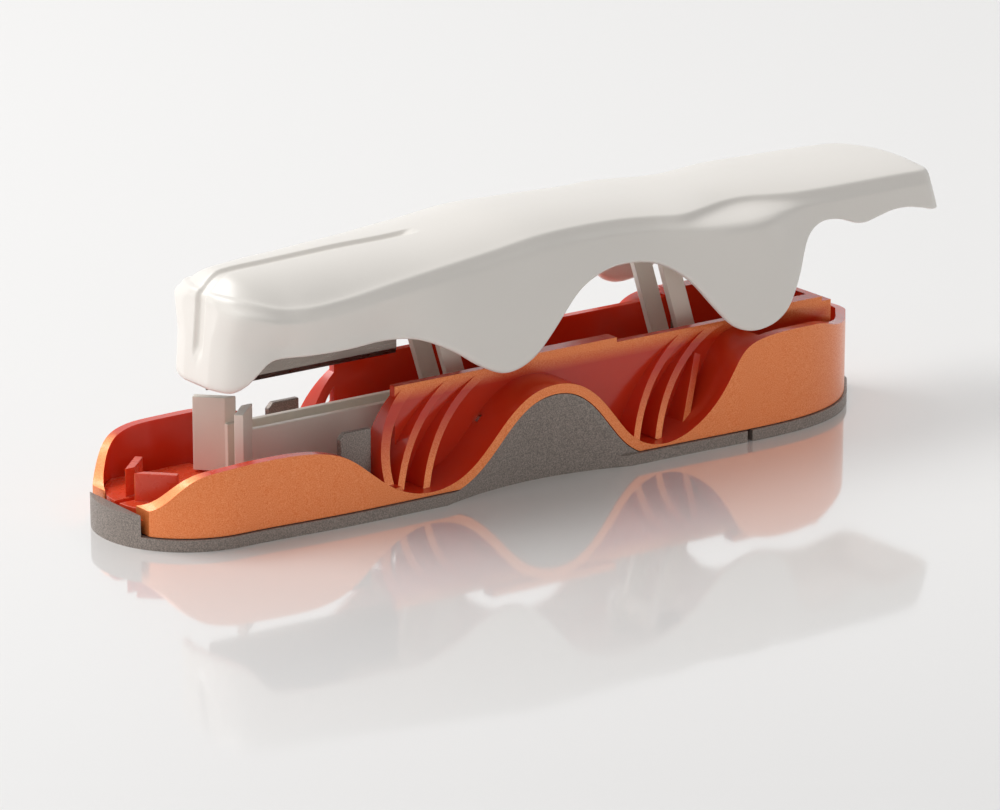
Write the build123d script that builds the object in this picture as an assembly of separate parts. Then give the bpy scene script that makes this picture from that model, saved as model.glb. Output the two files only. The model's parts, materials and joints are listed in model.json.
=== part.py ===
"""Pill splitter with a press-down lever on two parallel swing arms.

The tool lies along X with its nose, where the tablet sits, towards -X.
It stands on the plane Z = 0 and is symmetric about the plane Y = 0.
The model rests with the lever raised. The lever and all that rides on it are drawn in
the pressed-down position, where they must fit the body, and are then moved up.
"""
import math
import os

from build123d import *

# Body, seen from above
BODY_NOSE_X = -64.5
BODY_TAIL_X = 64.5
NOSE_RADIUS = 13.8
TAIL_TIP_RADIUS = 5.5
TAIL_TIP_ANGLE = 42.0
SIDE_STATIONS = [(-38.0, 14.6), (-20.0, 15.0), (5.0, 15.1), (25.0, 15.4), (38.0, 15.8), (47.0, 15.1),
                 (54.0, 12.6), (59.2, 8.4)]

# Body, seen from the side: the wavy parting lip, nose to tail
LIP_STATIONS = [(-61.9, 5.4), (-60.8, 6.3), (-59.0, 8.4), (-56.8, 10.2), (-54.0, 11.0), (-47.0, 11.4),
                (-39.5, 11.2), (-34.4, 9.8), (-30.2, 6.8), (-25.6, 3.6), (-20.3, 2.3), (-14.8, 3.6),
                (-10.6, 6.9), (-6.4, 11.2), (-2.6, 13.6), (1.4, 14.3), (5.2, 13.5), (8.8, 11.0),
                (12.2, 7.0), (15.6, 3.6), (20.2, 2.2), (25.4, 3.6), (29.6, 6.9), (32.4, 10.8),
                (34.8, 14.0), (38.6, 15.3), (46.5, 15.4), (50.0, 15.0), (52.6, 14.2), (55.8, 13.4),
                (60.0, 12.8), (66.0, 12.0)]
LIP_THICKNESS = 1.4

# Base tray
TRAY_FLOOR = 1.2
TRAY_RIM_HEIGHT = 1.7
TRAY_RIM_WIDTH = 1.0
NOSE_LIP_TOP = 4.8
NOSE_LIP_END_X = -62.8
GRIP_PANEL_WALL = 1.2
SCOOP_DEPTH = 2.4
SCOOP_CENTRE_X = -2.0
SCOOP_LENGTH = 30.0
SCOOP_TOP_Z = 13.0
GRIP_PANEL_FRONT_X = -17.0
GRIP_PANEL_REAR_X = 17.4
SEAM_GAP = 0.12
COVER_SPLIT_X = 34.8
COVER_SPLIT_GAP = 0.9
COVER_RIM_HEIGHT = 1.7

# Housing
BODY_REVEAL = 0.4
HOUSING_WALL = 1.5
HOUSING_FLOOR_BOTTOM = 2.9
HOUSING_FLOOR_THICKNESS = 0.8
SPINE_CLEARANCE = 0.4
SPINE_WALL = 1.2
SPINE_TOP = 16.4
SPINE_FRONT_X = -22.0
SPINE_REAR_X = 56.0
SHELF_REAR_X = 38.0
FLANGE_OVERHANG = 1.1
FLANGE_THICKNESS = 1.1
FLANGES = [(-6.0, 15.8), (37.5, 53.4)]
RIB_THICKNESS = 1.05
RIB_FEET = [(-23.4, 2.6), (-19.2, 2.0), (17.6, 2.4), (21.4, 2.0)]
FRONT_RIB_ARC = [(-26.2, 3.4), (-23.6, 13.2), (-11.0, 17.8)]
FRONT_RIB_THICKNESS = 1.5
FORK_FOOT = (26.0, 3.2)
FORK_TOP = (30.5, 12.6)
RIB_FOOT_HALF_WIDTH = 12.9
RIB_TOP_HALF_WIDTH = 8.0

# Tablet cradle
PILL_DIAMETER = 13.0
PILL_CENTRE_X = -50.7
PILL_CLEARANCE = 0.1
CRADLE_FLOOR_TOP = 5.0
CRADLE_PLATE_TOP = 9.0
CRADLE_PLATE_THICKNESS = 1.1
CRADLE_PLATE_REACH = 6.6
CRADLE_SLOT_HALF = 1.2
CRADLE_FLOOR_REAR_X = -44.8
CRADLE_FLOOR_HALF_WIDTH = 9.4
CUT_GROOVE_DEPTH = 0.8
CUT_GROOVE_HALF_WIDTH = 0.6

# Sliding jaw
JAW_TOP = 16.0
JAW_BOTTOM = 5.3
JAW_PLATE_THICKNESS = 1.3
JAW_PLATE_REACH = 7.6
JAW_PLATE_GAP_HALF = 2.1
JAW_SLOT_HALF = 0.8
CHANNEL_HALF_WIDTH = 2.5
CHANNEL_WALL = 1.0
CHANNEL_BOTTOM = 2.7
CHANNEL_FLOOR = 1.0
CHANNEL_TOP = 12.3
CHANNEL_REAR_X = -13.0
CARRIAGE_BOTTOM = 1.5
CARRIAGE_HALF_WIDTH = 9.6
TAB_FRONT_X = -32.1
TAB_LENGTH = 5.2
TAB_THICKNESS = 1.0
TAB_TOP = 11.6
TAB_CORNER = 1.2
JAW_FORWARD_TRAVEL = 6.0
JAW_REARWARD_TRAVEL = 0.3
SLIDE_GAP = 0.3

# Swing arms: a parallelogram that carries the lever
ARM_LENGTH = 22.0
ARM_OPEN_ANGLE = 107.0
ARM_SWING = 54.0
FRONT_PIVOT_X = -6.5
REAR_PIVOT_X = 34.5
PIVOT_Z = 8.0
ARM_INNER_Y = 3.0
ARM_PLATE = 1.2
ARM_EYE_RADIUS = 2.3
ARM_WAIST = 3.0
PIN_RADIUS = 1.2
PIN_HEAD_RADIUS = 2.0
PIN_HEAD = 0.6
PIN_PLAY = 0.1
RUNNING_GAP = 0.05
ARM_BUSH_RADIUS = 1.9
SPRING_WIRE = 0.5
SPRING_MEAN_RADIUS = 1.95
SPRING_TURNS = 2.5
SPRING_LEG = 7.0

# Lever, as drawn pressed down. Each row: x, then the half widths at the base, at mid height, at the ledge
# and at the ridge, then the heights of the ridge and of the crown
LEVER_BASE_Z = 0.5
LEVER_MID_Z = 12.0
LEDGE_DROP = 2.0
LEVER_STATIONS = [
    (-64.0, 4.8, 5.0, 5.0, 3.6, 18.7, 19.9),
    (-63.0, 7.2, 7.5, 7.7, 5.8, 19.0, 20.6),
    (-60.8, 8.8, 9.1, 10.0, 8.1, 18.8, 20.9),
    (-56.4, 9.8, 10.1, 11.7, 10.9, 17.7, 21.2),
    (-52.4, 11.0, 11.3, 12.5, 12.2, 17.6, 21.3),
    (-46.4, 11.4, 11.7, 12.7, 12.4, 18.0, 21.5),
    (-39.4, 11.0, 11.2, 12.8, 12.4, 18.9, 21.7),
    (-30.4, 14.1, 13.5, 12.9, 12.2, 19.9, 21.8),
    (-22.4, 14.6, 13.8, 12.7, 11.9, 20.7, 22.4),
    (-14.4, 14.7, 13.8, 12.5, 11.6, 21.6, 23.1),
    (-6.4, 14.8, 13.7, 11.9, 10.9, 21.7, 23.0),
    (1.6, 15.0, 13.7, 11.7, 10.7, 21.5, 22.6),
    (6.6, 15.3, 14.0, 12.2, 11.2, 21.2, 22.3),
    (11.1, 15.8, 14.8, 13.6, 12.2, 21.0, 22.0),
    (15.6, 16.6, 15.8, 15.2, 11.1, 21.0, 21.9),
    (20.6, 17.4, 16.4, 16.0, 9.5, 21.0, 21.9),
    (24.6, 17.5, 16.3, 15.6, 9.5, 21.1, 21.9),
    (28.6, 17.0, 15.4, 13.8, 10.6, 21.0, 21.9),
    (32.6, 15.4, 13.9, 12.6, 11.4, 20.9, 21.8),
    (37.6, 14.0, 12.8, 12.3, 11.5, 20.8, 21.6),
    (45.6, 12.8, 12.2, 12.0, 11.3, 20.7, 21.4),
    (49.6, 11.4, 11.2, 11.6, 11.2, 20.6, 21.3),
    (53.6, 10.2, 10.3, 10.9, 10.9, 20.5, 21.1),
    (58.6, 9.2, 9.4, 9.8, 9.8, 20.3, 20.8),
    (61.4, 7.6, 7.8, 7.6, 7.0, 19.7, 20.0),
]
LEVER_WALL = 1.4
SKIRT_STATIONS = [(-66.0, 5.3), (-62.8, 5.3), (-61.9, 5.9), (-60.8, 6.8), (-59.0, 8.8), (-57.8, 9.7),
                  (-56.0, 10.0), (-46.0, 10.0), (-39.0, 10.1), (-35.4, 9.8), (-32.2, 8.6), (-29.0, 6.9),
                  (-25.8, 4.8),
                  (-21.2, 3.0), (-16.6, 4.4), (-12.8, 7.9), (-8.6, 12.4), (-3.6, 14.7), (1.6, 15.2),
                  (6.4, 14.3), (10.6, 11.4), (14.0, 7.2), (17.4, 3.8), (22.0, 2.8), (26.8, 4.6),
                  (30.2, 9.0), (32.8, 14.0), (36.0, 16.2), (40.0, 15.8), (44.0, 14.0), (50.0, 13.9),
                  (54.0, 14.2), (59.0, 13.8), (64.0, 13.2)]
GROOVE_HALF_WIDTH = 1.2
GROOVE_DEPTH = 0.5
GROOVE_FOOT_Z = 9.6
GROOVE_REAR_X = -27.5

# Blade and its holder
BLADE_THICKNESS = 0.6
BLADE_FRONT_X = -62.2
BLADE_OVERHANG = 0.4
BLADE_EDGE_FRONT_Z = 4.5
BLADE_EDGE_REAR_Z = 4.6
BLADE_TOP_Z = 17.6
BLADE_BEVEL = 1.6
HOLDER_LENGTH = 8.6
HOLDER_BLOCK_GAP = 1.1
HOLDER_HALF_WIDTH = 2.1
HOLDER_BOTTOM_Z = 13.2
RIVET_RADIUS = 0.8
RIVET_Z = 15.4
RIVET_INSET = 2.2

# Pivot blocks under the lever
EAR_THICKNESS = 1.4
EAR_RADIUS = 2.6
BLOCK_WEB = 1.2

# Screws from below
TRAY_SCREW_X = 8.0
COVER_SCREW_X = 45.0
SCREW_HEAD_RADIUS = 1.7
SCREW_HEAD = 1.2
HEAD_GAP = 0.1
SCREW_RADIUS = 0.9
THREAD_GAP = 0.03
SCREW_LENGTH = 7.0
SCREW_RECESS = 0.3
BOSS_RADIUS = 2.2
BOSS_OVERLAP = 0.1
REAR_BOSS_TOP = 9.5
TRAY_BOSS_TOP = 2.8
SCREW_SLOT_WIDTH = 0.6

# Values that follow
BIG = 4 * max(-BODY_NOSE_X, BODY_TAIL_X)
NOSE_CENTRE_X = BODY_NOSE_X + NOSE_RADIUS
ARM_CLOSED_ANGLE = ARM_OPEN_ANGLE + ARM_SWING
LIFT_X = ARM_LENGTH * (math.cos(math.radians(ARM_OPEN_ANGLE)) - math.cos(math.radians(ARM_CLOSED_ANGLE)))
LIFT_Z = ARM_LENGTH * (math.sin(math.radians(ARM_OPEN_ANGLE)) - math.sin(math.radians(ARM_CLOSED_ANGLE)))
LIFT = Pos(LIFT_X, 0, LIFT_Z)
CLOSED_PIN_DX = ARM_LENGTH * math.cos(math.radians(ARM_CLOSED_ANGLE))
CLOSED_PIN_Z = PIVOT_Z + ARM_LENGTH * math.sin(math.radians(ARM_CLOSED_ANGLE))
HOLDER_REAR_X = FRONT_PIVOT_X + CLOSED_PIN_DX - EAR_RADIUS - HOLDER_BLOCK_GAP
HOLDER_FRONT_X = HOLDER_REAR_X - HOLDER_LENGTH
BLADE_REAR_X = HOLDER_REAR_X + BLADE_OVERHANG
HOUSING_FLOOR_TOP = HOUSING_FLOOR_BOTTOM + HOUSING_FLOOR_THICKNESS
ARM_OUTER_Y = ARM_INNER_Y + ARM_PLATE
EAR_INNER_Y = ARM_OUTER_Y + SLIDE_GAP
EAR_OUTER_Y = EAR_INNER_Y + EAR_THICKNESS
SPINE_HALF_GAP = EAR_OUTER_Y + PIN_PLAY + PIN_HEAD + SPINE_CLEARANCE
SPINE_OUTER_Y = SPINE_HALF_GAP + SPINE_WALL
FLANGE_HALF_WIDTH = SPINE_OUTER_Y + FLANGE_OVERHANG
SCREW_Y = SPINE_OUTER_Y + BOSS_RADIUS - BOSS_OVERLAP
UPRIGHT = (Align.CENTER, Align.CENTER, Align.MIN)


def box(x0, x1, y0, y1, z0, z1):
    """A block between two corners."""
    return Pos((x0 + x1) / 2, (y0 + y1) / 2, (z0 + z1) / 2) * Box(x1 - x0, y1 - y0, z1 - z0)


def both_sides(shape):
    """The shape and its mirror image across the long centre plane."""
    return shape + mirror(shape, Plane.XZ)


def shifted(points, distance):
    """Points of a line moved sideways, square to the line, to its left when positive."""
    moved = []
    for i, (x, y) in enumerate(points):
        x0, y0 = points[max(i - 1, 0)]
        x1, y1 = points[min(i + 1, len(points) - 1)]
        length = math.hypot(x1 - x0, y1 - y0)
        moved.append((x - distance * (y1 - y0) / length, y + distance * (x1 - x0) / length))
    return moved


def plan_face(inset):
    """The body seen from above, drawn in by an inset all round."""
    nose_radius = NOSE_RADIUS - inset
    tip_radius = TAIL_TIP_RADIUS - inset
    tip_centre = BODY_TAIL_X - TAIL_TIP_RADIUS
    tip_x = tip_centre + tip_radius * math.cos(math.radians(TAIL_TIP_ANGLE))
    tip_y = tip_radius * math.sin(math.radians(TAIL_TIP_ANGLE))
    side = shifted([(NOSE_CENTRE_X, NOSE_RADIUS)] + SIDE_STATIONS + [(tip_x, tip_y)], -inset)[1:-1]
    near = [(NOSE_CENTRE_X, -nose_radius)] + [(x, -y) for x, y in side] + [(tip_x, -tip_y)]
    far = [(x, -y) for x, y in reversed(near)]
    tip_slope = (math.sin(math.radians(TAIL_TIP_ANGLE)), math.cos(math.radians(TAIL_TIP_ANGLE)))
    near_edge = Spline(*near, tangents=[(1, 0), tip_slope])
    tip_edge = ThreePointArc(near[-1], (tip_centre + tip_radius, 0), far[0])
    far_edge = Spline(*far, tangents=[(-tip_slope[0], tip_slope[1]), (-1, 0)])
    nose_edge = ThreePointArc(far[-1], (NOSE_CENTRE_X - nose_radius, 0), near[0])
    return make_face(near_edge + tip_edge + far_edge + nose_edge)


def plan_prism(inset, z0, z1):
    """The body's plan outline as a prism between two heights."""
    return Pos(0, 0, z0) * extrude(plan_face(inset), z1 - z0)


def side_prism(points, half_width=BIG / 4):
    """A prism along Y over a closed outline in X and Z, made of the given edges' points."""
    return extrude(Plane.XZ * make_face(Polyline(*points, close=True)), half_width, both=True)


def below(points, depth=BIG / 4):
    """Everything below a smooth line in X and Z."""
    first, last = points[0], points[-1]
    top = Spline(*points)
    rest = Polyline(last, (last[0], -depth), (first[0], -depth), first)
    return extrude(Plane.XZ * make_face(top + rest), BIG / 4, both=True)


def disc_y(x, z, radius, y0, y1):
    """A round bar along Y."""
    return Pos(x, (y0 + y1) / 2, z) * Rot(90, 0, 0) * Cylinder(radius, y1 - y0)


def lever_section(station, inset):
    """One cross-section of the lever, drawn in by an inset."""
    x, base_y, mid_y, ledge_y, ridge_y, ridge_z, crown_z = station
    half = [(base_y - inset, LEVER_BASE_Z), (mid_y - inset, LEVER_MID_Z),
            (ledge_y - inset, ridge_z - LEDGE_DROP - inset), (ridge_y - inset, ridge_z - inset)]
    far = [(-y, z) for y, z in reversed(half)]
    top = ThreePointArc(half[-1], (0, crown_z - inset), far[0])
    edges = Polyline(*half) + top + Polyline(*far) + Line(far[-1], half[0])
    return Plane(origin=(x, 0, 0), x_dir=(0, 1, 0), z_dir=(1, 0, 0)) * make_face(edges)


def lever_form(inset):
    """The lever's outer form, or the space inside it, as a solid that is open to nothing."""
    stations = list(LEVER_STATIONS)
    first, last = stations[0], stations[-1]
    if inset:
        stations = [(first[0] + inset,) + stations[1][1:]] + stations[2:-2] + [(last[0] - inset,) + stations[-2][1:]]
    return loft([lever_section(station, inset) for station in stations])


def post(x, y, radius, z0, z1):
    """An upright round bar."""
    return Pos(x, y, z0) * Cylinder(radius, z1 - z0, align=UPRIGHT)


def make_base_tray():
    """Graphite tray: floor, rim, raised nose lip and the two hollowed grip panels."""
    floor = plan_prism(0, 0, TRAY_FLOOR)
    rim = plan_prism(0, 0, TRAY_RIM_HEIGHT) - plan_prism(TRAY_RIM_WIDTH, 0, BIG)
    nose = plan_prism(0, 0, NOSE_LIP_TOP) - plan_prism(HOUSING_WALL + BODY_REVEAL, 0, BIG)
    nose &= box(-BIG, NOSE_LIP_END_X, -BIG, BIG, 0, BIG)
    body = floor + rim + nose - finger_scoops(0) + grip_panels()
    body += both_sides(post(TRAY_SCREW_X, SCREW_Y, BOSS_RADIUS, 0, TRAY_BOSS_TOP))
    body -= both_sides(screw_hole(TRAY_SCREW_X, SCREW_Y))
    body &= box(-BIG, COVER_SPLIT_X, -BIG, BIG, -1, BIG)
    return body


def finger_scoops(growth):
    """The two spaces, one on each side, that hollow the grip panels. They are deepest at the foot."""
    radius = ((SCOOP_LENGTH / 2) ** 2 + SCOOP_DEPTH ** 2) / (2 * SCOOP_DEPTH)
    tilt = math.degrees(math.atan2(SCOOP_DEPTH, SCOOP_TOP_Z))
    foot_y = max(y for x, y in SIDE_STATIONS if x < GRIP_PANEL_REAR_X) - BODY_REVEAL - SCOOP_DEPTH
    bar = Pos(SCOOP_CENTRE_X, foot_y, 0) * Rot(-tilt, 0, 0) * Pos(0, radius, 0) * Cylinder(radius + growth, BIG / 4)
    return both_sides(bar)


def grip_region(shrink):
    """Side view of a grip panel: all that lies under the lip of the middle hump."""
    return below(shifted(LIP_STATIONS, -LIP_THICKNESS - shrink)) & box(GRIP_PANEL_FRONT_X + shrink, GRIP_PANEL_REAR_X - shrink, -BIG, BIG, 0, BIG)


def grip_panels():
    """Side panels hollowed for the fingers, one on each side."""
    top = max(z for _, z in LIP_STATIONS)
    outside = plan_prism(BODY_REVEAL, 0, top) - finger_scoops(0)
    inside = plan_prism(BODY_REVEAL + GRIP_PANEL_WALL, 0, top) - finger_scoops(GRIP_PANEL_WALL)
    return (outside - inside) & grip_region(SEAM_GAP)


def screw_hole(x, y):
    """Clearance hole and head recess for one screw, from below."""
    shank = post(x, y, SCREW_RADIUS + RUNNING_GAP, -1, BIG)
    head = post(x, y, SCREW_HEAD_RADIUS + HEAD_GAP, -1, SCREW_RECESS + SCREW_HEAD)
    return shank + head


def make_rear_cover():
    """Graphite cover under the tail, clipped in behind the tray."""
    body = plan_prism(0, 0, COVER_RIM_HEIGHT) - plan_prism(TRAY_RIM_WIDTH, TRAY_FLOOR, BIG)
    body += both_sides(post(COVER_SCREW_X, SCREW_Y, BOSS_RADIUS, 0, TRAY_BOSS_TOP))
    body -= both_sides(screw_hole(COVER_SCREW_X, SCREW_Y))
    return body & box(COVER_SPLIT_X + COVER_SPLIT_GAP, BIG, -BIG, BIG, -1, BIG)


def motion_arc(foot, thickness):
    """A curved wall in X and Z whose shape is the path that the lever takes as it rises."""
    start, end = ARM_CLOSED_ANGLE, ARM_OPEN_ANGLE
    centre_x = foot[0] - ARM_LENGTH * math.cos(math.radians(start))
    centre_z = foot[1] - ARM_LENGTH * math.sin(math.radians(start))
    inner = CenterArc((centre_x, centre_z), ARM_LENGTH, end, start - end)
    outer = CenterArc((centre_x, centre_z), ARM_LENGTH + thickness, end, start - end)
    sides = Line(inner @ 0, outer @ 0) + Line(inner @ 1, outer @ 1)
    return extrude(Plane.XZ * make_face(inner + outer + sides), BIG / 4, both=True)


def front_rib():
    """The curved wall that closes the first hollow towards the nose."""
    outer = ThreePointArc(*FRONT_RIB_ARC)
    inner = ThreePointArc(*shifted(FRONT_RIB_ARC, -FRONT_RIB_THICKNESS))
    sides = Line(outer @ 0, inner @ 0) + Line(outer @ 1, inner @ 1)
    return extrude(Plane.XZ * make_face(outer + inner + sides), BIG / 4, both=True)


def rib_space():
    """The space that the ribs fill across the body: it narrows upwards, so that the lowered lever covers them."""
    near = [(RIB_FOOT_HALF_WIDTH, TRAY_FLOOR), (RIB_TOP_HALF_WIDTH, SPINE_TOP)]
    far = [(-y, z) for y, z in reversed(near)]
    return extrude(Plane.YZ * make_face(Polyline(*near, *far, close=True)), BIG / 2, both=True)


def make_housing():
    """Orange housing: waved outer wall, shelf behind the lip, spine, flanges and curved ribs."""
    top = max(z for _, z in LIP_STATIONS) + 1
    wall = plan_prism(BODY_REVEAL, TRAY_RIM_HEIGHT + SEAM_GAP, top) & below(LIP_STATIONS)
    hollow = plan_prism(BODY_REVEAL + HOUSING_WALL, 0, top)
    wall -= hollow - box(FRONT_RIB_ARC[0][0], SHELF_REAR_X, -BIG, BIG, 0, BIG)
    wall -= hollow & below(shifted(LIP_STATIONS, -LIP_THICKNESS))
    wall -= box(-BIG, NOSE_LIP_END_X + SEAM_GAP, -BIG, BIG, 0, BIG)
    wall -= grip_region(0)

    inside = plan_prism(BODY_REVEAL + HOUSING_WALL / 2, TRAY_FLOOR + SEAM_GAP, BIG)
    slot = box(-BIG, SPINE_REAR_X - SPINE_WALL, -SPINE_HALF_GAP, SPINE_HALF_GAP, 0, BIG)

    wall -= slot & box(FRONT_RIB_ARC[0][0], BIG, -BIG, BIG, 0, BIG)

    spine = box(SPINE_FRONT_X, SPINE_REAR_X, -SPINE_OUTER_Y, SPINE_OUTER_Y, TRAY_FLOOR + SEAM_GAP, SPINE_TOP) - slot
    for x0, x1 in FLANGES:
        flange = box(x0, x1, -FLANGE_HALF_WIDTH, FLANGE_HALF_WIDTH, SPINE_TOP, SPINE_TOP + FLANGE_THICKNESS) - slot
        spine += flange

    ribs = front_rib()
    for foot in RIB_FEET:
        ribs += motion_arc(foot, RIB_THICKNESS)
    fork = Pos((FORK_FOOT[0] + FORK_TOP[0]) / 2, 0, (FORK_FOOT[1] + FORK_TOP[1]) / 2)
    fork_length = math.hypot(FORK_TOP[0] - FORK_FOOT[0], FORK_TOP[1] - FORK_FOOT[1])
    fork_tilt = math.degrees(math.atan2(FORK_TOP[0] - FORK_FOOT[0], FORK_TOP[1] - FORK_FOOT[1]))
    ribs += fork * Rot(0, fork_tilt, 0) * Box(RIB_THICKNESS, BIG, fork_length)
    ribs &= rib_space()
    ribs &= inside
    ribs -= slot
    ribs -= below(shifted(LIP_STATIONS, -LIP_THICKNESS / 2)) & box(SPINE_FRONT_X, BIG, -BIG, BIG, -BIG, BIG)

    floor = inside & box(NOSE_LIP_END_X + SEAM_GAP, FRONT_RIB_ARC[0][0] + FRONT_RIB_THICKNESS, -BIG, BIG,
                         HOUSING_FLOOR_BOTTOM, HOUSING_FLOOR_TOP)
    floor -= jaw_ways()

    body = wall + spine + ribs + floor
    boss_foot = TRAY_BOSS_TOP + SEAM_GAP
    under_lip = min(z for px, z in LIP_STATIONS if abs(px - TRAY_SCREW_X) < 2 * BOSS_RADIUS) - LIP_THICKNESS / 2
    for x, boss_top in ((TRAY_SCREW_X, under_lip), (COVER_SCREW_X, REAR_BOSS_TOP)):
        body += both_sides(post(x, SCREW_Y, BOSS_RADIUS, boss_foot, boss_top))
        pilot_top = SCREW_RECESS + SCREW_HEAD + SCREW_LENGTH + SLIDE_GAP
        body -= both_sides(post(x, SCREW_Y, SCREW_RADIUS + THREAD_GAP, 0, pilot_top))
    for x in (FRONT_PIVOT_X, REAR_PIVOT_X):
        body -= disc_y(x, PIVOT_Z, PIN_RADIUS, -SPINE_OUTER_Y, SPINE_OUTER_Y)
        body -= both_sides(disc_y(x, PIVOT_Z, PIN_HEAD_RADIUS + SLIDE_GAP, SPINE_OUTER_Y,
                                  SPINE_OUTER_Y + PIN_HEAD + SLIDE_GAP))
    return body


def jaw_ways():
    """Openings in the housing floor for the channel and the two finger tabs over their whole travel."""
    rear = TAB_FRONT_X + TAB_LENGTH + JAW_REARWARD_TRAVEL + SLIDE_GAP
    ways = box(CRADLE_FLOOR_REAR_X - 2.0, BIG, -CHANNEL_HALF_WIDTH - SLIDE_GAP,
               CHANNEL_HALF_WIDTH + SLIDE_GAP, 0, BIG)
    front = TAB_FRONT_X - JAW_FORWARD_TRAVEL - SLIDE_GAP
    ways += both_sides(box(front, rear, CARRIAGE_HALF_WIDTH - TAB_THICKNESS - SLIDE_GAP,
                           CARRIAGE_HALF_WIDTH + SLIDE_GAP, 0, BIG))
    return ways


def make_pill_cradle():
    """Insert in front: floor plate and the fixed half of the V that centres the tablet."""
    apex = PILL_CENTRE_X - (PILL_DIAMETER / 2 + PILL_CLEARANCE) * math.sqrt(2)
    floor = plan_prism(BODY_REVEAL + HOUSING_WALL + SEAM_GAP, HOUSING_FLOOR_TOP, CRADLE_FLOOR_TOP)
    floor &= box(-BIG, CRADLE_FLOOR_REAR_X, -CRADLE_FLOOR_HALF_WIDTH, CRADLE_FLOOR_HALF_WIDTH, 0, BIG)
    plate = box(0, CRADLE_PLATE_REACH, 0, CRADLE_PLATE_THICKNESS, HOUSING_FLOOR_TOP, CRADLE_PLATE_TOP)
    arm = Pos(apex, 0, 0) * Rot(0, 0, 45) * plate
    insert = floor + both_sides(arm)
    insert -= box(-BIG, apex + PILL_DIAMETER / 4, -CRADLE_SLOT_HALF, CRADLE_SLOT_HALF, CRADLE_FLOOR_TOP, BIG)
    insert -= box(-BIG, BIG, -CUT_GROOVE_HALF_WIDTH, CUT_GROOVE_HALF_WIDTH,
                  CRADLE_FLOOR_TOP - CUT_GROOVE_DEPTH, BIG)
    return insert


def jaw_apex():
    """Where the inner faces of the sliding V would meet, at rest on the tablet."""
    return PILL_CENTRE_X + (PILL_DIAMETER / 2 + PILL_CLEARANCE) * math.sqrt(2)


def make_jaw_slider():
    """Cream moulding: the tall sliding half of the V, and the guide channel behind it."""
    plate = box(-JAW_PLATE_REACH, 0, 0, JAW_PLATE_THICKNESS, JAW_BOTTOM, JAW_TOP)
    plates = both_sides(Pos(jaw_apex(), 0, 0) * Rot(0, 0, -45) * plate)
    plates -= box(-BIG, BIG, -JAW_PLATE_GAP_HALF, JAW_PLATE_GAP_HALF, 0, BIG)
    channel = box(jaw_apex() - JAW_PLATE_GAP_HALF, CHANNEL_REAR_X, -CHANNEL_HALF_WIDTH, CHANNEL_HALF_WIDTH,
                  CHANNEL_BOTTOM, CHANNEL_TOP)
    step_x = CRADLE_FLOOR_REAR_X + JAW_FORWARD_TRAVEL + SLIDE_GAP
    channel -= box(-BIG, step_x, -BIG, BIG, 0, JAW_BOTTOM)
    inner = CHANNEL_HALF_WIDTH - CHANNEL_WALL
    channel -= box(-BIG, BIG, -inner, inner, CHANNEL_BOTTOM + CHANNEL_FLOOR, BIG)
    return plates + channel - box(-BIG, BIG, -JAW_SLOT_HALF, JAW_SLOT_HALF, CHANNEL_BOTTOM + CHANNEL_FLOOR, BIG)


def make_jaw_carriage():
    """Graphite carriage under the floor, with the two finger tabs that move the jaw."""
    rear = TAB_FRONT_X + TAB_LENGTH
    plate = box(TAB_FRONT_X, rear, -CARRIAGE_HALF_WIDTH, CARRIAGE_HALF_WIDTH, CARRIAGE_BOTTOM, CHANNEL_BOTTOM)
    tab = box(TAB_FRONT_X, rear, CARRIAGE_HALF_WIDTH - TAB_THICKNESS, CARRIAGE_HALF_WIDTH, CARRIAGE_BOTTOM, TAB_TOP)
    corner = Pos(TAB_FRONT_X, 0, TAB_TOP) * Rot(0, 45, 0) * Box(TAB_CORNER, BIG, TAB_CORNER)
    tabs = both_sides(tab) - corner
    return plate + tabs


def arm_direction(angle):
    return math.cos(math.radians(angle)), math.sin(math.radians(angle))


def make_swing_arm(pivot_x):
    """A cream yoke at rest: two plates with an eye at each end, joined by a tube around the upper pin."""
    dx, dz = arm_direction(ARM_OPEN_ANGLE)
    upper = (pivot_x + ARM_LENGTH * dx, PIVOT_Z + ARM_LENGTH * dz)
    plates = None
    for x, z in ((pivot_x, PIVOT_Z), upper):
        eye = disc_y(x, z, ARM_EYE_RADIUS, ARM_INNER_Y, ARM_OUTER_Y)
        plates = eye if plates is None else plates + eye
    middle = Pos((pivot_x + upper[0]) / 2, (ARM_INNER_Y + ARM_OUTER_Y) / 2, (PIVOT_Z + upper[1]) / 2)
    plates += middle * Rot(0, 90 - ARM_OPEN_ANGLE, 0) * Box(ARM_WAIST, ARM_PLATE, ARM_LENGTH)
    body = both_sides(plates) + disc_y(*upper, ARM_BUSH_RADIUS, -ARM_INNER_Y, ARM_INNER_Y)
    body -= disc_y(*upper, PIN_RADIUS, -BIG / 4, BIG / 4)
    body -= disc_y(pivot_x, PIVOT_Z, PIN_RADIUS + RUNNING_GAP, -BIG / 4, BIG / 4)
    return body


def make_upper_pin(pivot_x):
    """Steel pin through the lever's ears and the arm's tube, with a head at each end."""
    dx, dz = arm_direction(ARM_OPEN_ANGLE)
    x, z = pivot_x + ARM_LENGTH * dx, PIVOT_Z + ARM_LENGTH * dz
    reach = EAR_OUTER_Y + PIN_PLAY
    pin = disc_y(x, z, PIN_RADIUS, -reach, reach)
    return pin + both_sides(disc_y(x, z, PIN_HEAD_RADIUS, reach, reach + PIN_HEAD))


def make_lower_pins(pivot_x):
    """Two stub pins, pressed into the spine walls, that the arm's lower eyes turn on."""
    shank = disc_y(pivot_x, PIVOT_Z, PIN_RADIUS, ARM_INNER_Y - SLIDE_GAP, SPINE_OUTER_Y)
    head = disc_y(pivot_x, PIVOT_Z, PIN_HEAD_RADIUS, SPINE_OUTER_Y, SPINE_OUTER_Y + PIN_HEAD)
    return both_sides(shank + head)


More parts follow.
